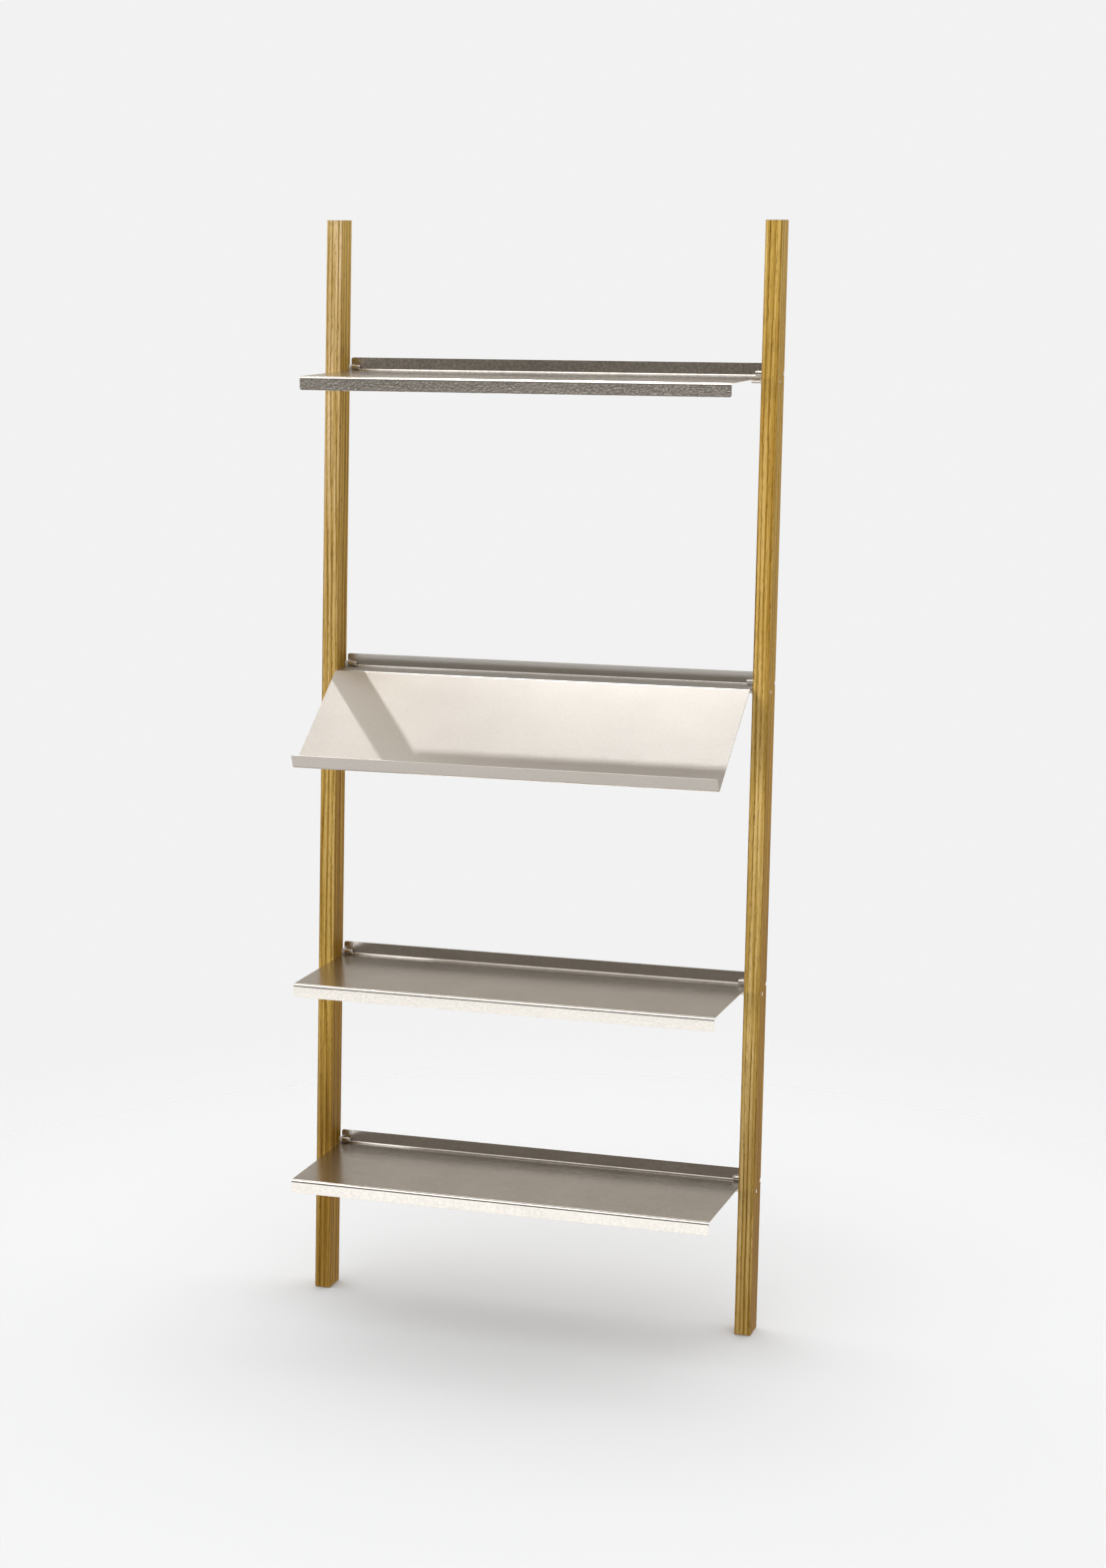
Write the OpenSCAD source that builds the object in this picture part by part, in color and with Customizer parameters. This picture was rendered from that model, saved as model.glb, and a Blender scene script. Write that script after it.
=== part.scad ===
// Leaning ladder shelf. Two oak stiles lean back against a wall and carry four
// folded stainless steel shelves between them. Each end of a shelf is trapped
// by two steel pins: the sheet rests on the front pin, and the rear pin above it
// holds the back edge down. Lifting the front edge tips a shelf out of its pins.
// X runs across the front, Y to the back, Z up; the feet stand at Z = 0.

/* [Frame] */
// Outer width across both stiles
frame_w = 800; // [500:5:1000]
// Height of the stiles, measured straight up
stile_h = 1870; // [1700:5:2200]
// Width of a stile, seen from the front
stile_w = 28.5; // [24:0.5:45]
// Depth of a stile, square to its length
stile_d = 44; // [42:0.5:60]
// How far the stiles lean back, in degrees
lean = 3.8; // [0:0.1:8]

/* [Shelf heights] */
// Surface of the top shelf above the stiles' feet
top_z = 1615; // [1450:1:1650]
// Rear ledge of the display shelf above the stiles' feet
display_z = 1103; // [1000:1:1150]
// Surface of the middle shelf above the stiles' feet
middle_z = 593; // [560:1:640]
// Surface of the bottom shelf above the stiles' feet
bottom_z = 253; // [200:1:300]

/* [Folded sheet] */
// Thickness of the sheet
sheet_t = 1.2; // [0.8:0.1:2]
// Outside radius of every fold
bend_r = 5; // [3:0.5:6]
// Reach of the shelves in front of the stiles
overhang = 186; // [100:1:250]
// Reach of the shelves behind the stiles' front faces
rear_reach = 48; // [47:0.5:60]
// Height of the front lip, folded down
lip_h = 23; // [12:0.5:40]
// Height of the rear upstand, folded up
upstand_h = 22; // [16:0.5:40]
// Radius of the free corners of lips and upstands
corner_r = 4; // [1:0.5:6]
// Gap between a shelf's end and the stile
end_gap = 1.5; // [0.5:0.5:3]

/* [Display shelf] */
// Reach of its rear ledge in front of the stiles
ledge_reach = 10; // [5:0.5:30]
// Slope of its panel below level, in degrees
panel_slope = 35.7; // [20:0.1:50]
// Length of the panel down the slope
panel_len = 240; // [150:1:300]
// Length of the lip that stops books sliding off
stop_len = 25.5; // [15:0.5:50]
// Forward lean of that lip, in degrees
stop_lean = 20; // [0:1:40]

/* [Pins and pads] */
// Diameter of the steel pins
pin_d = 8; // [6:0.5:10]
// Reach of the pins inside the stiles
pin_reach = 20; // [10:0.5:30]
// Outside diameter of the nylon sleeves on the pins
sleeve_d = 10; // [9:0.5:14]
// Length of the sleeves
sleeve_len = 5; // [3:0.5:10]
// Front pins, behind the stiles' front faces
front_pin_back = 17; // [12:0.5:20]
// Rear pins, behind the stiles' front faces
rear_pin_back = 41; // [30:0.5:41]
// Play between the sheet and each sleeve
pin_play = 0.2; // [0.1:0.05:0.5]
// Diameter of the foot and wall pads
pad_d = 18; // [10:1:24]
// Thickness of the pads
pad_t = 3; // [2:0.5:5]
// How far a foot pad is let into the foot
pad_recess = 2; // [0.5:0.5:4]
// Centre of a wall pad below the top of the stile
wall_pad_drop = 20; // [12:1:60]

/* [Hidden] */
$fn = 64;
arc_steps = 8;
foot_z = pad_t - pad_recess;
slope = tan(lean);
stile_run = stile_d / cos(lean);
inner_w = frame_w - 2 * stile_w;
shelf_w = inner_w - 2 * end_gap;
pin_r = pin_d / 2;
pin_chamfer = 0.6;
sleeve_r = sleeve_d / 2;
pad_r = pad_d / 2;

// The frame's box is centred on Y = 0, from the bottom shelf's lip to the wall pads.
front_reach = overhang - bottom_z * slope;
rear_top = stile_h * slope + stile_run - (wall_pad_drop - pad_r) * sin(lean) + pad_t * cos(lean);
foot_y = (front_reach - rear_top) / 2;

// Front face of the stiles at height z above their feet
function face_y(z) = foot_y + z * slope;

SHELVES = ["top", "display", "middle", "bottom"];
SIDES = ["left", "right"];
ROWS = ["front", "rear"];
function shelf_z(name) =
    name == "top" ? top_z : name == "display" ? display_z : name == "middle" ? middle_z : bottom_z;

// Centre of a shelf's pins, as [Y, height above the stiles' feet]
function pin_at(shelf, row) = let (
    clear = sleeve_r + pin_play,
    z = row == "front" ? shelf_z(shelf) - sheet_t - clear : shelf_z(shelf) + clear
) [face_y(z) + (row == "front" ? front_pin_back : rear_pin_back), z];

// Extrudes a Y-Z outline along X, from x = 0 to the given length
module along_x(length) rotate([90, 0, 90]) linear_extrude(length) children();

// Draws the left-hand piece as it is and the right-hand piece as its mirror image
module on_side(side) mirror([side == "right" ? 1 : 0, 0, 0]) children();

/* The sheet's outline: the visible face's corners are given, and each fold is rounded. */

function unit(v) = v / norm(v);
function right_of(v) = [v[1], -v[0]];
function spin(v, a) = [v[0] * cos(a) - v[1] * sin(a), v[0] * sin(a) + v[1] * cos(a)];

// One fold at corner p between a and b, at a depth below the visible face
function fold(a, p, b, depth) = let (
    d0 = unit(p - a),
    turn = atan2(cross(d0, unit(b - p)), d0 * unit(b - p)),
    away = turn < 0 ? 1 : -1,
    face_r = turn < 0 ? bend_r : bend_r - sheet_t,
    centre = p + (right_of(d0) * away - d0 * tan(abs(turn) / 2)) * face_r,
    r = face_r - away * depth
) [for (k = [0:arc_steps]) centre - spin(right_of(d0) * away * r, turn * k / arc_steps)];

function face_line(path, depth) = let (
    n = len(path) - 1,
    first = right_of(unit(path[1] - path[0])),
    last = right_of(unit(path[n] - path[n - 1]))
) concat(
    [path[0] + first * depth],
    [for (i = [1:n - 1]) each fold(path[i - 1], path[i], path[i + 1], depth)],
    [path[n] + last * depth]
);

function reversed(list) = [for (i = [len(list) - 1:-1:0]) list[i]];
function sheet_outline(path) = concat(face_line(path, 0), reversed(face_line(path, sheet_t)));

// Waste beyond the rounded corners of a free edge at point p, which looks away from q
module corner_waste(p, q) {
    for (side = SIDES)
        on_side(side)
            translate([-shelf_w / 2, p[0], p[1]])
                rotate([atan2(p[1] - q[1], p[0] - q[0]), 0, 0])
                    linear_extrude(4 * sheet_t, center = true)
                        difference() {
                            translate([-1, -corner_r]) square(corner_r + 1);
                            translate([corner_r, -corner_r]) circle(corner_r);
                        }
}

// A shelf folded along the given face corners, from its front edge to its rear edge
module folded_shelf(path) {
    n = len(path) - 1;
    difference() {
        translate([-shelf_w / 2, 0, 0])
            along_x(shelf_w) polygon(sheet_outline(path));
        corner_waste(path[0], path[1]);
        corner_waste(path[n], path[n - 1]);
    }
}

module flat_shelf(shelf)
    color("#a49a8c")
        translate([0, face_y(shelf_z(shelf)), foot_z + shelf_z(shelf)])
            folded_shelf([
                [-overhang, -lip_h],
                [-overhang, 0],
                [rear_reach - sheet_t, 0],
                [rear_reach - sheet_t, upstand_h]
            ]);

module display_shelf() {
    ledge = [-ledge_reach, 0];
    trough = ledge - panel_len * [cos(panel_slope), sin(panel_slope)];
    color("#c9c2b6")
        translate([0, face_y(display_z), foot_z + display_z])
            folded_shelf([
                trough + stop_len * [-sin(stop_lean), cos(stop_lean)],
                trough,
                ledge,
                [rear_reach - sheet_t, 0],
                [rear_reach - sheet_t, upstand_h]
            ]);
}

// A straight oak bar, cut level at both ends, bored for its pins and its foot pad
module stile(side)
    color("#b48f4c")
        on_side(side)
            difference() {
                translate([-frame_w / 2, 0, foot_z])
                    along_x(stile_w)
                        polygon([
                            [face_y(0), 0],
                            [face_y(0) + stile_run, 0],
                            [face_y(stile_h) + stile_run, stile_h],
                            [face_y(stile_h), stile_h]
                        ]);
                for (shelf = SHELVES, row = ROWS)
                    on_pin_axis(shelf, row)
                        translate([0, 0, -1]) cylinder(r = pin_r, h = stile_w + 2);
                foot_pad_place()
                    cylinder(r = pad_r, h = pad_t);
            }

// Moves a Z-axis cylinder to a left-hand pin's axis, starting at the stile's outer face
module on_pin_axis(shelf, row)
    translate([-frame_w / 2, pin_at(shelf, row)[0], foot_z + pin_at(shelf, row)[1]])
        rotate([0, 90, 0]) children();

// A rod flush with the outer face, with a chamfered inner end
module pin(shelf, side, row)
    color("#d8d6d2")
        on_side(side)
            on_pin_axis(shelf, row) {
                cylinder(r = pin_r, h = stile_w + pin_reach - pin_chamfer);
                translate([0, 0, stile_w + pin_reach - pin_chamfer])
                    cylinder(r1 = pin_r, r2 = pin_r - pin_chamfer, h = pin_chamfer);
            }

// A nylon ring that keeps the sheet off the steel
module sleeve(shelf, side, row)
    color("#f2f0ea")
        on_side(side)
            on_pin_axis(shelf, row)
                translate([0, 0, stile_w])
                    difference() {
                        cylinder(r = sleeve_r, h = sleeve_len);
                        translate([0, 0, -1]) cylinder(r = pin_r, h = sleeve_len + 2);
                    }

module foot_pad_place()
    translate([-(frame_w - stile_w) / 2, face_y(0) + stile_run / 2, 0])
        children();

module foot_pad(side)
    color("#3a3835")
        on_side(side)
            foot_pad_place() cylinder(r = pad_r, h = pad_t);

// A round bumper on the stile's back face, just below its top
module wall_pad(side)
    color("#3a3835")
        on_side(side)
            translate([-(frame_w - stile_w) / 2, face_y(stile_h) + stile_run, foot_z + stile_h])
                rotate([-lean, 0, 0])
                    translate([0, 0, -wall_pad_drop])
                        rotate([-90, 0, 0]) cylinder(r = pad_r, h = pad_t);

for (side = SIDES)
    stile(side);

for (shelf = ["top", "middle", "bottom"])
    flat_shelf(shelf);

display_shelf();

for (shelf = SHELVES, side = SIDES, row = ROWS) {
    pin(shelf, side, row);
    sleeve(shelf, side, row);
}

for (side = SIDES) {
    foot_pad(side);
    wall_pad(side);
}
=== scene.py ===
# Leaning ladder shelf: oak stiles, folded stainless shelves, steel pins with nylon sleeves.
import math

import bmesh
import bpy
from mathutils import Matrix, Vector


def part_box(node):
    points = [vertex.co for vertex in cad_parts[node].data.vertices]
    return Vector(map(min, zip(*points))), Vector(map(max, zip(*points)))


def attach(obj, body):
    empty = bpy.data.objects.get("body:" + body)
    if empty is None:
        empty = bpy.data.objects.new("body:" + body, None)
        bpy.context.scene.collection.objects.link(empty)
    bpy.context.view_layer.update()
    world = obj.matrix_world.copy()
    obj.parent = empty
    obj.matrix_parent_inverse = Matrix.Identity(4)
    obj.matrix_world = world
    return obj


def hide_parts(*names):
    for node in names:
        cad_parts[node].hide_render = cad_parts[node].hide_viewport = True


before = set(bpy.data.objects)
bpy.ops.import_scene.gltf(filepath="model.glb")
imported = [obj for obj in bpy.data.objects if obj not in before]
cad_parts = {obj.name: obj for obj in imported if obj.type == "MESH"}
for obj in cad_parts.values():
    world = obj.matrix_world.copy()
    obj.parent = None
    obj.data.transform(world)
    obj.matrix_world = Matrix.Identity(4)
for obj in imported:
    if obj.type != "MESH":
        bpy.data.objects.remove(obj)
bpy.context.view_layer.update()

MM = 0.001
LEAN = math.radians(3.8)
SHELVES = ("top", "display", "middle", "bottom")
SIDES = {"left": -1, "right": 1}
ROWS = ("front", "rear")

# Stiles
STILE_W = 28.5 * MM
STILE_RUN = 44 * MM / math.cos(LEAN)
ARRIS_R = 1.3 * MM
END_EASE = 0.7 * MM
BORE_PLAY = 0.05 * MM
BORE_FLARE = 0.45 * MM
RECESS_PLAY = 0.1 * MM
WORN_WIDTH = 2.5 * MM
# Folded sheet
SHEET_T = 1.2 * MM
BEND_R = 5 * MM
OVERHANG = 186 * MM
REAR_REACH = 48 * MM
LIP_H = 23 * MM
UPSTAND_H = 22 * MM
CORNER_R = 4 * MM
LEDGE_REACH = 10 * MM
PANEL_SLOPE = math.radians(35.7)
PANEL_LEN = 240 * MM
STOP_LEN = 25.5 * MM
STOP_LEAN = math.radians(20)
RIM_EASE = 0.2 * MM
# Pins and pads
PIN_R = 4 * MM
PIN_PLAY = 0.02 * MM
# A pin's rounded ends: (mm in from the stile's outer face, share of the radius) for the outer end,
# and (mm short of the pin's tip, share of the radius) for the inner one
PIN_OUTER = [(0.35, 0.50), (0.45, 0.82), (0.62, 0.95), (0.95, 1.0)]
PIN_INNER = [(0.75, 1.0), (0.45, 0.965), (0.12, 0.87), (0.0, 0.80)]
SLEEVE_R = 5 * MM
SLEEVE_LEN = 5 * MM
SLEEVE_EASE = 0.35 * MM
PAD_R = 9 * MM
PAD_T = 3 * MM
PAD_EASE = 0.7 * MM
PAD_DISH = 0.35 * MM
# Mesh detail
SUPPORT = 3 * MM
BEYOND = 1 * MM
BELOW_FLOOR = 5 * MM
EASE_MIDDLE = 0.3
ARRIS_STEPS = 4
ROUND_STEPS = 48
STILE_LEVELS = 24
SHEET_COLUMNS = 8
FOLD_STEPS = 10
CORNER_STEPS = 6
BORE_STEPS = 64
SAME_POINT = 0.001 * MM
SHORT_EDGE = 0.03 * MM
SLIVER = 0.01 * MM
# Sharp edges, in degrees
STILE_SHARP, SHEET_SHARP, ROUND_SHARP = 38, 50, 40


# ---------------------------------------------------------------- meshes

def new_object(name, bm, materials):
    """An object at the origin, made from bm, which it frees."""
    bmesh.ops.recalc_face_normals(bm, faces=bm.faces)
    mesh = bpy.data.meshes.new(name)
    bm.to_mesh(mesh)
    bm.free()
    obj = bpy.data.objects.new(name, mesh)
    bpy.context.scene.collection.objects.link(obj)
    for material in materials:
        mesh.materials.append(material)
    return obj


def finish_shading(obj, sharp_angle):
    """Smooth shading except at sharp angles, with the broad faces kept flat."""
    for face in obj.data.polygons:
        face.use_smooth = True
    obj.data.set_sharp_from_angle(angle=math.radians(sharp_angle))
    weighted = obj.modifiers.new("weighted_normals", "WEIGHTED_NORMAL")
    weighted.keep_sharp = True
    weighted.weight = 100


def stand_for(obj, node, body):
    """Makes obj the visible form of a CAD node that rides on a body."""
    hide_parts(node)
    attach(obj, body)


def rounded_rectangle(width, depth, radius):
    """Corner-rounded outline centred on (0, 0), with a support point beside each corner."""
    points = []
    for quarter, (sx, sy) in enumerate(((1, 1), (-1, 1), (-1, -1), (1, -1))):
        cx, cy = sx * (width / 2 - radius), sy * (depth / 2 - radius)
        arc = [(quarter + k / ARRIS_STEPS) * math.pi / 2 for k in range(ARRIS_STEPS + 1)]
        corner = [(cx + radius * math.cos(a), cy + radius * math.sin(a)) for a in arc]
        along_x = (cx - sx * SUPPORT, corner[-1 if quarter % 2 == 0 else 0][1])
        along_y = (corner[0 if quarter % 2 == 0 else -1][0], cy - sy * SUPPORT)
        points += [along_y, *corner, along_x] if quarter % 2 == 0 else [along_x, *corner, along_y]
    return points


def loft(bm, loops):
    """Joins equal loops of points, one above the other, and closes both ends."""
    rings = [[bm.verts.new(p) for p in loop] for loop in loops]
    count = len(rings[0])
    for low, high in zip(rings, rings[1:]):
        for i in range(count):
            j = (i + 1) % count
            bm.faces.new((low[i], low[j], high[j], high[i]))
    bm.faces.new(rings[0][::-1])
    bm.faces.new(rings[-1])


def revolve(bm, profile, place, steps=ROUND_STEPS, closed=False):
    """Turns (along, radius) points about an axis; place(along, radius, angle) gives the point."""
    rings = []
    for along, radius in profile:
        if radius == 0:
            rings.append([bm.verts.new(place(along, 0, 0))] * steps)
        else:
            rings.append([bm.verts.new(place(along, radius, 2 * math.pi * k / steps))
                          for k in range(steps)])
    pairs = list(zip(rings, rings[1:])) + ([(rings[-1], rings[0])] if closed else [])
    for a, b in pairs:
        for i in range(steps):
            j = (i + 1) % steps
            corners = []
            for v in (a[i], a[j], b[j], b[i]):
                if v not in corners:
                    corners.append(v)
            bm.faces.new(corners)


def about_x(centre, direction):
    """Places revolved points round an axis along X, starting at centre."""
    def place(along, radius, angle):
        return (centre.x + direction * along,
                centre.y + radius * math.cos(angle),
                centre.z + radius * math.sin(angle))
    return place


def fold(a, p, b, depth):
    """The arc that rounds the fold at p between a and b, at a depth below the visible face."""
    into, out = (p - a).normalized(), (b - p).normalized()
    turn = math.atan2(into.x * out.y - into.y * out.x, into.dot(out))
    away = 1 if turn < 0 else -1
    face_r = BEND_R if turn < 0 else BEND_R - SHEET_T
    right = Vector((into.y, -into.x))
    centre = p + (right * away - into * math.tan(abs(turn) / 2)) * face_r
    spoke = right * away * (face_r - away * depth)
    arc = []
    for k in range(FOLD_STEPS + 1):
        c, s = math.cos(turn * k / FOLD_STEPS), math.sin(turn * k / FOLD_STEPS)
        arc.append(centre - Vector((spoke.x * c - spoke.y * s, spoke.x * s + spoke.y * c)))
    return arc


def sheet_rows(path, half_width):
    """Rows across the folded sheet: (point on its face, point on its back, half width, bend)."""
    def side_point(p, q, along, depth):
        d = (q - p).normalized()
        return p + d * along + Vector((d.y, -d.x)) * depth

    def free_edge(p, q, thickness, corner):
        return [(side_point(p, q, along, 0), side_point(p, q, along, thickness),
                 half_width - narrower, 0) for along, narrower in corner]

    turns = [k * math.pi / 2 / CORNER_STEPS for k in range(CORNER_STEPS + 1)]
    corner = [(CORNER_R * (1 - math.cos(t)), CORNER_R * (1 - math.sin(t))) for t in turns]
    rows = free_edge(path[0], path[1], SHEET_T, corner)
    for a, p, b in zip(path, path[1:], path[2:]):
        pairs = list(zip(fold(a, p, b, 0), fold(a, p, b, SHEET_T)))
        rows += [(face, back, half_width, math.sin(math.pi * k / FOLD_STEPS))
                 for k, (face, back) in enumerate(pairs)]
    return rows + free_edge(path[-1], path[-2], -SHEET_T, corner[::-1])


def folded_sheet(name, path, half_width, materials):
    """A sheet folded along a path of (Y, Z) corners, with rounded free corners and an eased rim."""
    bm = bmesh.new()
    # Share of the fold at each point, which the steel uses for burnish and for a painted highlight
    # along the folds
    wear_and_fold_highlight = bm.verts.layers.float.new("wear_and_fold_highlight")
    inner = half_width - CORNER_R
    layers = []
    rows = sheet_rows([Vector(p) for p in path], half_width)
    for side in (0, 1):
        grid = []
        for *points, width, bend in rows:
            evenly = [inner * (2 * k / SHEET_COLUMNS - 1) for k in range(SHEET_COLUMNS + 1)]
            grid.append([bm.verts.new((x, *points[side])) for x in (-width, *evenly, width)])
            for vertex in grid[-1]:
                vertex[wear_and_fold_highlight] = bend
        layers.append(grid)
    last = SHEET_COLUMNS + 2
    for grid in layers:
        for low, high in zip(grid, grid[1:]):
            for i in range(last):
                bm.faces.new((low[i], low[i + 1], high[i + 1], high[i]))
    face, back = layers
    borders = [(face[end], back[end]) for end in (0, -1)]
    borders += [([row[edge] for row in face], [row[edge] for row in back]) for edge in (0, -1)]
    for near, far in borders:
        for i in range(len(near) - 1):
            rim = bm.faces.new((near[i], near[i + 1], far[i + 1], far[i]))
            rim.material_index = 1
    bmesh.ops.remove_doubles(bm, verts=bm.verts, dist=SAME_POINT)
    bmesh.ops.recalc_face_normals(bm, faces=bm.faces)
    arrises = [e for e in bm.edges
               if len(e.link_faces) == 2 and {f.material_index for f in e.link_faces} == {0, 1}]
    bmesh.ops.bevel(bm, geom=arrises, offset=RIM_EASE, segments=2, profile=0.5,
                    affect="EDGES", clamp_overlap=True)
    bmesh.ops.remove_doubles(bm, verts=bm.verts, dist=SHORT_EDGE)
    bmesh.ops.dissolve_degenerate(bm, edges=bm.edges, dist=SLIVER)
    obj = new_object(name, bm, materials)
    finish_shading(obj, SHEET_SHARP)
    return obj


# ---------------------------------------------------------------- materials

def set_stops(ramp, stops):
    """Gives a colour ramp its stops: (position, colour)."""
    elements = ramp.color_ramp.elements
    while len(elements) < len(stops):
        elements.new(0.5)
    for element, (position, colour) in zip(elements, stops):
        element.position = position
        element.color = (*colour, 1)


class Shader:
    """A short way to build a node material."""

    def __init__(self, name):
        self.material = bpy.data.materials.new(name)
        self.material.use_nodes = True
        self.tree = self.material.node_tree
        self.tree.nodes.clear()
        self.output = self.tree.nodes.new("ShaderNodeOutputMaterial")
        self.bsdf = self.tree.nodes.new("ShaderNodeBsdfPrincipled")
        self.link(self.bsdf.outputs["BSDF"], self.output.inputs["Surface"])

    def link(self, a, b):
        self.tree.links.new(a, b)

    def put(self, socket, value):
        if isinstance(value, bpy.types.NodeSocket):
            self.link(value, socket)
        else:
            socket.default_value = value

    def node(self, kind, inputs=None, **settings):
        node = self.tree.nodes.new(kind)
        for key, value in settings.items():
            setattr(node, key, value)
        for key, value in (inputs or {}).items():
            self.put(node.inputs[key], value)
        return node

    def math(self, operation, a, b=0.0):
        return self.node("ShaderNodeMath", {0: a, 1: b}, operation=operation).outputs[0]

    def weigh(self, *parts):
        """The sum of (value, weight) pairs."""
        total = None
        for value, weight in parts:
            part = self.math("MULTIPLY", value, weight)
            total = part if total is None else self.math("ADD", total, part)
        return total

    def ramp(self, value, stops):
        """Turns a value into a colour, or into a grey where the stops hold plain numbers."""
        node = self.node("ShaderNodeValToRGB", {"Fac": value})
        set_stops(node, [(at, c if isinstance(c, tuple) else (c, c, c)) for at, c in stops])
        return node.outputs["Color"]

    def mix(self, factor, a, b, blend="MIX"):
        node = self.node("ShaderNodeMix", data_type="RGBA", blend_type=blend)
        self.put(node.inputs["Factor"], factor)
        self.put(node.inputs[6], (*a, 1) if isinstance(a, tuple) else a)
        self.put(node.inputs[7], (*b, 1) if isinstance(b, tuple) else b)
        return node.outputs[2]

    def rest_place(self, scale=(1, 1, 1), tilt=0.0):
        """The place at rest in metres, tilted about X so that Z runs along a board, then scaled."""
        coords = self.node("ShaderNodeTexCoord").outputs["Object"]
        turned = self.node("ShaderNodeMapping", {"Vector": coords, "Rotation": (tilt, 0, 0)})
        scaled = self.node("ShaderNodeMapping", {"Vector": turned.outputs[0], "Scale": scale})
        return scaled.outputs[0]

    def face_axis(self, axis):
        """The X, Y or Z part (0, 1 or 2) of the surface's direction."""
        normal = self.node("ShaderNodeTexCoord").outputs["Normal"]
        return self.node("ShaderNodeSeparateXYZ", {"Vector": normal}).outputs[axis]

    def attribute(self, name):
        return self.node("ShaderNodeAttribute", attribute_name=name).outputs["Fac"]

    def noise(self, scale, detail=3.0, roughness=0.5, tilt=0.0):
        """Noise with so many features to the metre along each axis."""
        return self.node("ShaderNodeTexNoise", {
            "Vector": self.rest_place(scale, tilt), "Scale": 1.0, "Detail": detail,
            "Roughness": roughness}).outputs["Fac"]

    def bump(self, height, strength, distance, under=None):
        inputs = {"Height": height, "Strength": strength, "Distance": distance}
        if under is not None:
            inputs["Normal"] = under
        return self.node("ShaderNodeBump", inputs).outputs[0]

    def finish(self, colour, rough, normal, **plain):
        """Sets the surface's colour, roughness and normal, and its plain numbers by socket name."""
        self.put(self.bsdf.inputs["Base Color"], colour)
        self.put(self.bsdf.inputs["Roughness"], rough)
        self.put(self.bsdf.inputs["Normal"], normal)
        for name, value in plain.items():
            self.bsdf.inputs[name.replace("_", " ")].default_value = value
        return self.material


# How each board's colour changes with its height in metres: (height, tone), paler at the top and
# browner at the foot. The tones are the oak's own colour with painted light and shade in them: the
# light falling off towards the foot and under the shelves, differently on each stile, and the
# flanks a darker painted-shade copy of the fronts. A ramp holds 0 to 1, so it takes the tones as
# shares of
# TONE_SCALE, and the heights as shares of TONE_REACH.
TONE_SCALE = 3.5
TONE_REACH = 2.0
LEFT_FRONT_TONE_AND_LIGHT = [(0.28, (0.52, 0.46, 0.38)), (0.50, (0.88, 0.87, 0.92)), (0.80, (0.93, 0.93, 1.10)),
              (1.18, (1.00, 1.04, 1.57)), (1.45, (1.13, 1.21, 2.20)), (1.72, (1.09, 1.18, 2.20)),
              (1.86, (1.30, 1.50, 3.40))]
RIGHT_FRONT_TONE_AND_LIGHT = [(0.04, (0.67, 0.67, 0.87)), (0.34, (0.80, 0.83, 1.24)), (0.58, (1.04, 1.10, 1.60)),
               (0.90, (1.12, 1.18, 1.75)), (1.22, (1.01, 0.98, 1.04)), (1.54, (1.01, 0.96, 0.98)),
               (1.80, (1.16, 1.19, 1.45))]
FLANK_TONE_AND_SHADE = [(0.10, (0.62, 0.50, 0.21)), (0.50, (0.73, 0.60, 0.24)), (0.85, (0.82, 0.70, 0.40)),
         (1.26, (0.93, 0.87, 0.65)), (1.60, (1.00, 0.97, 0.90)), (1.85, (1.16, 1.18, 1.40))]
RING_PERIOD = 6.6 * MM
RING_SWAY = 0.022
OAK_COLOURS = [(0.34, (0.135, 0.068, 0.006)), (0.46, (0.300, 0.173, 0.021)),
               (0.57, (0.445, 0.280, 0.055)), (0.70, (0.620, 0.440, 0.135))]
PORE_COLOUR = (0.10, 0.052, 0.012)
FLECK_COLOUR = (0.070, 0.035, 0.010)
HANDLED_COLOUR = (0.20, 0.115, 0.030)
END_COLOUR = (0.16, 0.085, 0.022)


def board_tone_and_light(s, place):
    """The tone of a board by height, for its front and back or for its flanks, with painted light
    and shade in it: darker towards the foot, a different fall on each stile, and darker on the
    flanks.
    """
    height = s.math("DIVIDE", place.outputs[2], TONE_REACH)
    tones = []
    for stops in (LEFT_FRONT_TONE_AND_LIGHT, RIGHT_FRONT_TONE_AND_LIGHT, FLANK_TONE_AND_SHADE):
        shares = [(z / TONE_REACH, tuple(c / TONE_SCALE for c in tone)) for z, tone in stops]
        tones.append(s.ramp(height, shares))
    right = s.math("GREATER_THAN", place.outputs[0], 0.0)
    flank = s.ramp(s.math("ABSOLUTE", s.face_axis(0)), [(0.55, 0.0), (0.85, 1.0)])
    return s.mix(flank, s.mix(right, tones[0], tones[1]), tones[2])


def growth_rings(s, place):
    """Where a point lies within its growth ring, 0 to 1, cut so that long faces show lines."""
    sway = s.noise((22, 22, 1.1), 3.0, 0.55, LEAN)
    across = s.weigh((place.outputs[0], 0.80), (place.outputs[1], 0.60), (sway, RING_SWAY))
    return s.math("FRACT", s.math("MULTIPLY", across, 1 / RING_PERIOD))


def add_flecks(s, colour):
    """Pin knots and dark flecks."""
    cells = s.node("ShaderNodeTexVoronoi", {
        "Vector": s.rest_place((70, 70, 19), LEAN), "Scale": 1.0}, feature="F1")
    pick = s.node("ShaderNodeSeparateColor", {"Color": cells.outputs["Color"]}).outputs[0]
    chosen = s.math("GREATER_THAN", pick, 0.62)
    fleck = s.ramp(cells.outputs["Distance"], [(0.04, 1.0), (0.11, 0.0)])
    return s.mix(s.math("MULTIPLY", s.math("MULTIPLY", fleck, chosen), 0.75), colour, FLECK_COLOUR)


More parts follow.
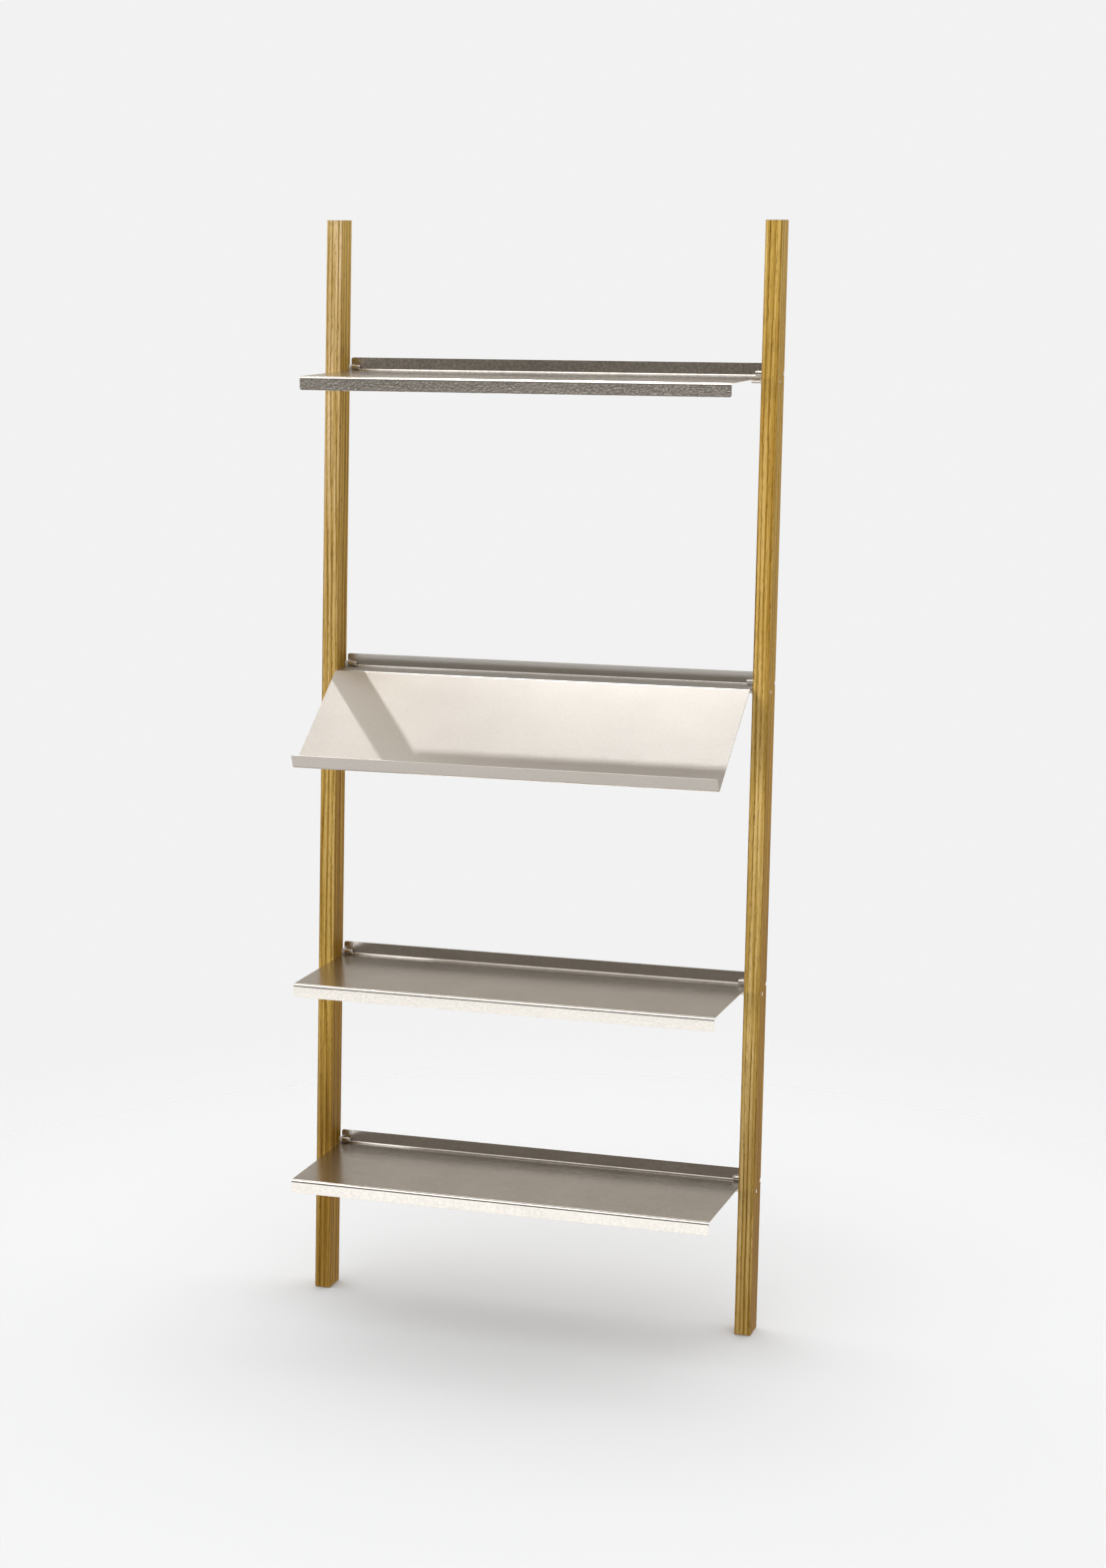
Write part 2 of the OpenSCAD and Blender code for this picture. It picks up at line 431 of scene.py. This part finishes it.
def oak():
    s = Shader("oak")
    place = s.node("ShaderNodeSeparateXYZ", {"Vector": s.rest_place(tilt=LEAN)})
    ring = growth_rings(s, place)
    ring_tone = s.ramp(ring, [(0.0, 0.02), (0.15, 0.48), (0.35, 0.78), (0.78, 0.62),
                              (0.92, 0.30), (1.0, 0.02)])
    streak = s.noise((215, 215, 1.8), 3.0, 0.55, LEAN)
    fibre = s.noise((620, 620, 14), 3.0, 0.6, LEAN)
    colour = s.ramp(s.weigh((streak, 0.58), (fibre, 0.26), (ring_tone, 0.26)), OAK_COLOURS)
    # Painted light and shade: the boards darker towards the foot and on their flanks
    colour = s.mix(1.0, colour, board_tone_and_light(s, place), "MULTIPLY")
    colour = s.node("ShaderNodeVectorMath", {0: colour, "Scale": TONE_SCALE},
                    operation="SCALE").outputs[0]
    # Open pores, mostly in the early wood
    pore = s.ramp(s.noise((900, 900, 75), 2.0, 0.5, LEAN), [(0.55, 0.0), (0.63, 1.0)])
    early = s.ramp(ring, [(0.0, 1.0), (0.30, 0.75), (0.6, 0.25), (1.0, 1.0)])
    pore = s.math("MULTIPLY", pore, early)
    colour = s.mix(s.math("MULTIPLY", pore, 0.65), colour, PORE_COLOUR)
    colour = add_flecks(s, colour)
    # Handled arrises, a little darker and smoother
    wear_and_fold_highlight = s.attribute("wear_and_fold_highlight")
    patchy = s.math("MULTIPLY", wear_and_fold_highlight, s.noise((40, 40, 25), 2.0))
    colour = s.mix(s.math("MULTIPLY", patchy, 0.55), colour, HANDLED_COLOUR)
    end = s.math("GREATER_THAN", s.math("ABSOLUTE", s.face_axis(2)), 0.75)
    colour = s.mix(end, colour, s.mix(0.7, colour, END_COLOUR))
    rough = s.math("ADD", 0.46, s.weigh((fibre, 0.20), (wear_and_fold_highlight, -0.08)))
    height = s.weigh((fibre, 0.40), (ring_tone, 0.06), (pore, -0.8))
    return s.finish(colour, rough, s.bump(height, 0.55, 0.3 * MM), IOR=1.46,
                    Specular_IOR_Level=0.16, Specular_Tint=(1.0, 0.80, 0.50, 1))


WARM_STEEL = (0.600, 0.572, 0.534)
PALE_STEEL = (0.600, 0.577, 0.548)
SAWN_STEEL = (0.640, 0.612, 0.575)
# The pale colour painted along the folds as a highlight, and how strongly it is painted
BURNISH_AND_HIGHLIGHT = (0.88, 0.86, 0.83)
PAINTED_HIGHLIGHT_TINT = 5


def stainless(name, tint, roughness, grain, relief, burnish_and_highlight):
    """Folded sheet: a satin metal with a mottled grain, burnished where it is folded, with a
    painted highlight there: its colour lifted towards pale along the folds.
    """
    s = Shader(name)
    wear_and_fold_highlight = s.attribute("wear_and_fold_highlight")
    mottle = s.noise((250, 250, 250), 2.0)
    cloud = s.noise((9, 9, 9))
    brushed = s.noise((18, 1500, 1500), 2.0, 0.6)
    shade = s.weigh((mottle, 0.55), (cloud, 0.30), (brushed, 0.15))
    low = tuple(c * (1 - grain) for c in tint)
    high = tuple(c * (1 + grain) for c in tint)
    colour = s.ramp(shade, [(0.34, low), (0.66, high)])
    # Painted highlight: the colour lifted towards pale along the folds, where the bright reflected
    # line falls; only the lower roughness below is burnish
    colour = s.mix(s.math("MULTIPLY", wear_and_fold_highlight, PAINTED_HIGHLIGHT_TINT * burnish_and_highlight), colour, BURNISH_AND_HIGHLIGHT)
    rough = s.math("ADD", roughness - 0.05, s.weigh((shade, 0.10), (wear_and_fold_highlight, -burnish_and_highlight)))
    wave = s.bump(cloud, 0.10, 2 * MM)
    normal = s.bump(s.math("ADD", mottle, s.math("MULTIPLY", brushed, 0.15)), 0.50, relief, wave)
    return s.finish(colour, rough, normal, Metallic=1.0)


def polished_steel():
    s = Shader("polished_pin")
    turned = s.noise((4000, 250, 250), 2.0)
    smudge = s.noise((160, 160, 160))
    colour = s.ramp(smudge, [(0.3, (0.66, 0.64, 0.61)), (0.7, (0.76, 0.74, 0.71))])
    rough = s.math("ADD", 0.09, s.math("MULTIPLY", smudge, 0.10))
    return s.finish(colour, rough, s.bump(turned, 0.12, 0.1 * MM), Metallic=1.0)


def nylon():
    s = Shader("white_nylon")
    speck = s.noise((900, 900, 900), 2.0)
    colour = s.ramp(speck, [(0.3, (0.80, 0.79, 0.75)), (0.7, (0.88, 0.87, 0.84))])
    rough = s.math("ADD", 0.36, s.math("MULTIPLY", speck, 0.14))
    return s.finish(colour, rough, s.bump(speck, 0.15, 0.1 * MM))


def rubber():
    s = Shader("black_rubber")
    grain = s.noise((700, 700, 700), 3.0, 0.6)
    colour = s.ramp(grain, [(0.3, (0.018, 0.018, 0.018)), (0.7, (0.045, 0.044, 0.042))])
    rough = s.math("ADD", 0.62, s.math("MULTIPLY", grain, 0.25))
    return s.finish(colour, rough, s.bump(grain, 0.4, 0.2 * MM))


OAK = oak()
SHEET = stainless("satin_stainless", WARM_STEEL, 0.22, 0.10, 0.26 * MM, 0.12)
GRAINY_SHEET = stainless("grainy_stainless", WARM_STEEL, 0.22, 0.24, 0.52 * MM, 0.12)
FINE_SHEET = stainless("fine_stainless", PALE_STEEL, 0.30, 0.04, 0.15 * MM, 0.02)
CUT_EDGE = stainless("cut_edge", SAWN_STEEL, 0.40, 0.10, 0.2 * MM, 0.0)
PIN_STEEL = polished_steel()
NYLON = nylon()
RUBBER = rubber()


# ---------------------------------------------------------------- pieces

def centre_of(node):
    low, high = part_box(node)
    return (Vector(low) + Vector(high)) / 2


def pin_axis(shelf, side, row):
    """Where a pin's axis meets the stile's outer face."""
    middle = centre_of(f"{shelf}_{side}_{row}_pin")
    low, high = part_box(f"{side}_stile")
    return Vector((low[0] if side == "left" else high[0], middle.y, middle.z))


def stile_levels(height):
    """Heights along a stile, each with how far its outline is drawn in to ease the ends."""
    end = [(0, END_EASE), (EASE_MIDDLE * END_EASE, EASE_MIDDLE * END_EASE), (END_EASE, 0),
           (END_EASE + SUPPORT, 0)]
    return [*end, *((height * k / STILE_LEVELS, 0) for k in range(1, STILE_LEVELS)),
            *((height - z, inset) for z, inset in reversed(end))]


def stile_cutter(side):
    """The pins' bores, flared at both mouths, and the foot pad's recess, as one cutter."""
    cut = bmesh.new()
    bore, wide = PIN_R + BORE_PLAY, PIN_R + BORE_PLAY + BORE_FLARE + BEYOND
    profile = [(-BEYOND, 0), (-BEYOND, wide), (BORE_FLARE, bore), (STILE_W - BORE_FLARE, bore),
               (STILE_W + BEYOND, wide), (STILE_W + BEYOND, 0)]
    for shelf in SHELVES:
        for row in ROWS:
            revolve(cut, profile, about_x(pin_axis(shelf, side, row), -SIDES[side]), BORE_STEPS)
    pad = centre_of(f"{side}_foot_pad")
    recess_r = PAD_R + RECESS_PLAY
    recess = [(-BELOW_FLOOR, 0), (-BELOW_FLOOR, recess_r), (PAD_T, recess_r), (PAD_T, 0)]
    revolve(cut, recess, lambda a, r, t: (pad.x + r * math.cos(t), pad.y + r * math.sin(t), a),
            BORE_STEPS)
    return new_object("cutter", cut, [])


def cut_away(obj, cutter):
    """Cuts obj's mesh by the cutter, which it then deletes."""
    boolean = obj.modifiers.new("bores", "BOOLEAN")
    boolean.operation, boolean.solver, boolean.object = "DIFFERENCE", "EXACT", cutter
    bpy.context.view_layer.update()
    evaluated = obj.evaluated_get(bpy.context.evaluated_depsgraph_get())
    mesh = bpy.data.meshes.new_from_object(evaluated)
    obj.modifiers.clear()
    obj.data = mesh
    bpy.data.objects.remove(cutter)


def wear_arrises(mesh, low, high, y_middle):
    """Marks the mesh as worn close to a long arris or an end's edge."""
    wear_and_fold_highlight = mesh.attributes.new("wear_and_fold_highlight", "FLOAT", "POINT")
    mid_x = (low.x + high.x) / 2
    for vertex, value in zip(mesh.vertices, wear_and_fold_highlight.data):
        dx = abs(abs(vertex.co.x - mid_x) - STILE_W / 2)
        dy = abs(abs(vertex.co.y - y_middle(vertex.co.z)) - STILE_RUN / 2)
        dz = min(vertex.co.z - low.z, high.z - vertex.co.z)
        value.value = max(0.0, 1 - sorted((dx, dy, dz))[1] / WORN_WIDTH)


def make_stile(side):
    low, high = (Vector(v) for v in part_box(f"{side}_stile"))
    mid_x = (low.x + high.x) / 2

    def y_middle(z):
        return low.y + STILE_RUN / 2 + (z - low.z) * math.tan(LEAN)

    bm = bmesh.new()
    loops = []
    for z, inset in stile_levels(high.z - low.z):
        outline = rounded_rectangle(STILE_W - 2 * inset, STILE_RUN - 2 * inset, ARRIS_R - inset)
        loops.append([(mid_x + x, y_middle(low.z + z) + y, low.z + z) for x, y in outline])
    loft(bm, loops)
    obj = new_object(f"{side}_stile_oak", bm, [OAK])
    cut_away(obj, stile_cutter(side))
    wear_arrises(obj.data, low, high, y_middle)
    finish_shading(obj, STILE_SHARP)
    stand_for(obj, f"{side}_stile", "frame")


def make_round(name, profile, place, material, node, closed=False):
    """A piece turned about an axis, which stands for a CAD node on the frame."""
    bm = bmesh.new()
    revolve(bm, profile, place, closed=closed)
    obj = new_object(name, bm, [material])
    finish_shading(obj, ROUND_SHARP)
    stand_for(obj, node, "frame")


def make_pin(shelf, side, row):
    node = f"{shelf}_{side}_{row}_pin"
    low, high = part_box(node)
    length = high[0] - low[0]
    r = PIN_R - PIN_PLAY
    outer = [(along * MM, share * r) for along, share in PIN_OUTER]
    inner = [(length - along * MM, share * r) for along, share in PIN_INNER]
    profile = [(outer[0][0], 0), *outer, *inner, (length, 0)]
    place = about_x(pin_axis(shelf, side, row), -SIDES[side])
    make_round(node + "_polished", profile, place, PIN_STEEL, node)


def make_sleeve(shelf, side, row):
    node = f"{shelf}_{side}_{row}_sleeve"
    e, part = SLEEVE_EASE, EASE_MIDDLE * SLEEVE_EASE
    start, end = STILE_W, STILE_W + SLEEVE_LEN
    profile = [(start, PIN_R), (start, SLEEVE_R - e), (start + part, SLEEVE_R - part),
               (start + e, SLEEVE_R), (end - e, SLEEVE_R), (end - part, SLEEVE_R - part),
               (end, SLEEVE_R - e), (end, PIN_R + e), (end - part, PIN_R + part), (end - e, PIN_R)]
    place = about_x(pin_axis(shelf, side, row), -SIDES[side])
    make_round(node + "_nylon", profile, place, NYLON, node, closed=True)


def pad_profile():
    """A pad from its hidden face outwards: an eased rim round a shallow dish."""
    part = EASE_MIDDLE * PAD_EASE
    return [(0, 0), (0, PAD_R), (PAD_T - PAD_EASE, PAD_R), (PAD_T - part, PAD_R - part),
            (PAD_T, PAD_R - PAD_EASE), (PAD_T, 0.62 * PAD_R), (PAD_T - PAD_DISH, 0.52 * PAD_R),
            (PAD_T - PAD_DISH, 0)]


def make_pads(side):
    foot, wall = centre_of(f"{side}_foot_pad"), centre_of(f"{side}_wall_pad")
    out = Vector((0, math.cos(LEAN), -math.sin(LEAN)))
    across = Vector((1, 0, 0))
    up = Vector((0, math.sin(LEAN), math.cos(LEAN)))
    base = wall - out * PAD_T / 2

    def under_foot(a, r, t):
        return foot.x + r * math.cos(t), foot.y + r * math.sin(t), PAD_T - a

    def on_wall(a, r, t):
        return base + out * a + across * r * math.cos(t) + up * r * math.sin(t)

    for node, place in ((f"{side}_foot_pad", under_foot), (f"{side}_wall_pad", on_wall)):
        make_round(node + "_rubber", pad_profile(), place, RUBBER, node)


def make_shelf(shelf):
    node = f"{shelf}_shelf"
    low, high = (Vector(v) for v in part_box(node))
    surface = high.z - UPSTAND_H
    back = high.y - SHEET_T
    face = high.y - REAR_REACH
    if shelf == "display":
        ledge = Vector((face - LEDGE_REACH, surface))
        trough = ledge - PANEL_LEN * Vector((math.cos(PANEL_SLOPE), math.sin(PANEL_SLOPE)))
        stop = trough + STOP_LEN * Vector((-math.sin(STOP_LEAN), math.cos(STOP_LEAN)))
        front = [stop, trough, ledge]
    else:
        front = [(face - OVERHANG, surface - LIP_H), (face - OVERHANG, surface)]
    path = [*front, (back, surface), (back, surface + UPSTAND_H)]
    skin = {"top": GRAINY_SHEET, "display": FINE_SHEET}.get(shelf, SHEET)
    obj = folded_sheet(node + "_sheet", path, high.x, [skin, CUT_EDGE])
    stand_for(obj, node, node)


for side in SIDES:
    make_stile(side)
    make_pads(side)
for shelf in SHELVES:
    make_shelf(shelf)
    for side in SIDES:
        for row in ROWS:
            make_pin(shelf, side, row)
            make_sleeve(shelf, side, row)


# ---------------------------------------------------------------- studio

BACKGROUND = (0.888, 0.888, 0.888)
# The studio's glow by height above the horizon (sine), in front of and behind the object: (height,
# glow, warmth), where warmth 1 is the taupe of the walls and 0 the white of the lit floor.
FRONT_GLOW = [(-1.0, 0.60, 0.6), (-0.76, 0.76, 0.5), (-0.50, 1.15, 0.2), (-0.35, 1.65, 0),
              (-0.22, 2.15, 0), (-0.17, 0.50, 0.5), (-0.12, 0.28, 1), (-0.05, 0.21, 1),
              (0.02, 0.16, 1), (0.26, 0.30, 1), (0.50, 0.20, 1), (0.66, 0.60, 0.8),
              (0.78, 2.10, 0), (0.93, 2.30, 0), (1.0, 1.15, 0.5)]
BACK_GLOW = [(-1.0, 0.60, 0.6), (-0.40, 1.10, 0.3), (-0.10, 0.75, 0.8), (0.05, 0.62, 1),
             (0.22, 0.52, 1), (0.34, 0.37, 1), (0.46, 0.34, 1), (0.56, 1.90, 0.3),
             (0.76, 1.90, 0.2), (0.86, 0.70, 1), (1.0, 0.62, 1)]
# A ramp takes the glows as shares of GLOW_SCALE
GLOW_SCALE = 2.5
WARM = (1.0, 0.905, 0.790)
# Where the glow turns from the front's to the back's, as a direction's Y
FRONT_ENDS, BACK_STARTS = -0.35, 0.05

FLOOR_COLOUR = (0.660, 0.678, 0.702, 1)
FLOOR_RADIUS = 3.0
FADE_STARTS, FADE_ENDS = 0.7, 2.0
UNSEEN_BY = ("diffuse", "glossy", "transmission", "volume_scatter", "shadow")

# Suns: (name, strength, colour, where it shines from, its width in degrees, whether it lights the
# floor only, whether it shows in reflections)
SUNS = [("key", 0.35, (1.0, 1.0, 1.0), (-0.294, 0.345, 0.891), 0.9, False, True),
        ("soft_fill", 1.25, (1.0, 0.97, 0.93), (-0.55, -1.0, 0.04), 20, False, False),
        ("floor_light", 1.20, (0.98, 0.99, 1.0), (-0.10, 0.25, 1), 65, True, True)]

CAMERA_PLACE = (1.56906, -4.70835, 1.85042)
CAMERA_DOWN = math.radians(10.455)
CAMERA_TURN = math.radians(17.92)
CAMERA_LENS = 68.61
CAMERA_SENSOR = 36


def make_world():
    """The studio as the object reflects it, and a plain background for the camera."""
    world = bpy.data.worlds.new("studio")
    world.use_nodes = True
    tree = world.node_tree
    tree.nodes.clear()
    add, link = tree.nodes.new, tree.links.new
    coords, split = add("ShaderNodeTexCoord"), add("ShaderNodeSeparateXYZ")
    link(coords.outputs["Generated"], split.inputs[0])
    height = add("ShaderNodeMapRange")
    height.inputs["From Min"].default_value = -1
    link(split.outputs[2], height.inputs["Value"])
    behind = add("ShaderNodeMapRange")
    behind.inputs["From Min"].default_value = FRONT_ENDS
    behind.inputs["From Max"].default_value = BACK_STARTS
    link(split.outputs[1], behind.inputs["Value"])
    mix = add("ShaderNodeMix")
    mix.data_type = "RGBA"
    link(behind.outputs[0], mix.inputs["Factor"])
    for socket, glows in ((6, FRONT_GLOW), (7, BACK_GLOW)):
        ramp = add("ShaderNodeValToRGB")
        set_stops(ramp, [((sine + 1) / 2,
                          [glow / GLOW_SCALE * (1 + warmth * (warm - 1)) for warm in WARM])
                         for sine, glow, warmth in glows])
        link(height.outputs[0], ramp.inputs["Fac"])
        link(ramp.outputs[0], mix.inputs[socket])
    studio, plain = add("ShaderNodeBackground"), add("ShaderNodeBackground")
    link(mix.outputs[2], studio.inputs["Color"])
    studio.inputs["Strength"].default_value = GLOW_SCALE
    plain.inputs["Color"].default_value = (*BACKGROUND, 1)
    path, choose = add("ShaderNodeLightPath"), add("ShaderNodeMixShader")
    link(path.outputs["Is Camera Ray"], choose.inputs[0])
    link(studio.outputs[0], choose.inputs[1])
    link(plain.outputs[0], choose.inputs[2])
    link(choose.outputs[0], add("ShaderNodeOutputWorld").inputs["Surface"])
    bpy.context.scene.world = world


def floor_material():
    """Pale and matt, fading to clear with distance, and clear from below."""
    s = Shader("pale_floor")
    place = s.node("ShaderNodeTexCoord").outputs["Object"]
    far = s.node("ShaderNodeVectorMath", {0: place}, operation="LENGTH").outputs["Value"]
    fade = s.node("ShaderNodeMapRange", {
        "Value": far, "From Min": FADE_STARTS, "From Max": FADE_ENDS},
        interpolation_type="SMOOTHSTEP").outputs[0]
    s.bsdf.inputs["Base Color"].default_value = FLOOR_COLOUR
    s.bsdf.inputs["Roughness"].default_value = 1.0
    s.bsdf.inputs["Specular IOR Level"].default_value = 0.0
    clear = s.node("ShaderNodeBsdfTransparent").outputs[0]
    seen = s.node("ShaderNodeMixShader", {0: fade, 1: s.bsdf.outputs[0], 2: clear})
    under = s.node("ShaderNodeNewGeometry").outputs["Backfacing"]
    both = s.node("ShaderNodeMixShader", {0: under, 1: seen.outputs[0], 2: clear})
    s.link(both.outputs[0], s.output.inputs["Surface"])
    return s.material


def make_floor():
    """A pale disc that catches the soft shadow and fades into the background."""
    bm = bmesh.new()
    bmesh.ops.create_circle(bm, cap_ends=True, segments=96, radius=FLOOR_RADIUS)
    floor = new_object("floor", bm, [floor_material()])
    if floor.data.polygons[0].normal.z < 0:
        floor.data.flip_normals()
    for ray in UNSEEN_BY:
        setattr(floor, "visible_" + ray, False)


def make_sun(name, strength, colour, source, degrees, floor_only, in_reflections):
    """A sun that shines from source to the origin, on the floor only or on all but the floor."""
    data = bpy.data.lights.new(name, "SUN")
    data.energy, data.color, data.angle = strength, colour, math.radians(degrees)
    sun = bpy.data.objects.new(name, data)
    sun.location = source
    sun.rotation_euler = (-Vector(source)).to_track_quat("-Z", "Y").to_euler()
    bpy.context.scene.collection.objects.link(sun)
    sun.visible_glossy = in_reflections
    group = bpy.data.collections.new(name + "_floor")
    group.objects.link(bpy.data.objects["floor"])
    sun.light_linking.receiver_collection = group
    group.collection_objects[0].light_linking.link_state = "INCLUDE" if floor_only else "EXCLUDE"


def make_camera():
    data = bpy.data.cameras.new("camera")
    data.sensor_width, data.lens = CAMERA_SENSOR, CAMERA_LENS
    camera = bpy.data.objects.new("camera", data)
    camera.location = CAMERA_PLACE
    camera.rotation_euler = (math.radians(90) - CAMERA_DOWN, 0, CAMERA_TURN)
    bpy.context.scene.collection.objects.link(camera)
    bpy.context.scene.camera = camera


make_world()
make_floor()
for sun in SUNS:
    make_sun(*sun)
make_camera()
bpy.context.scene.view_settings.view_transform = "Standard"
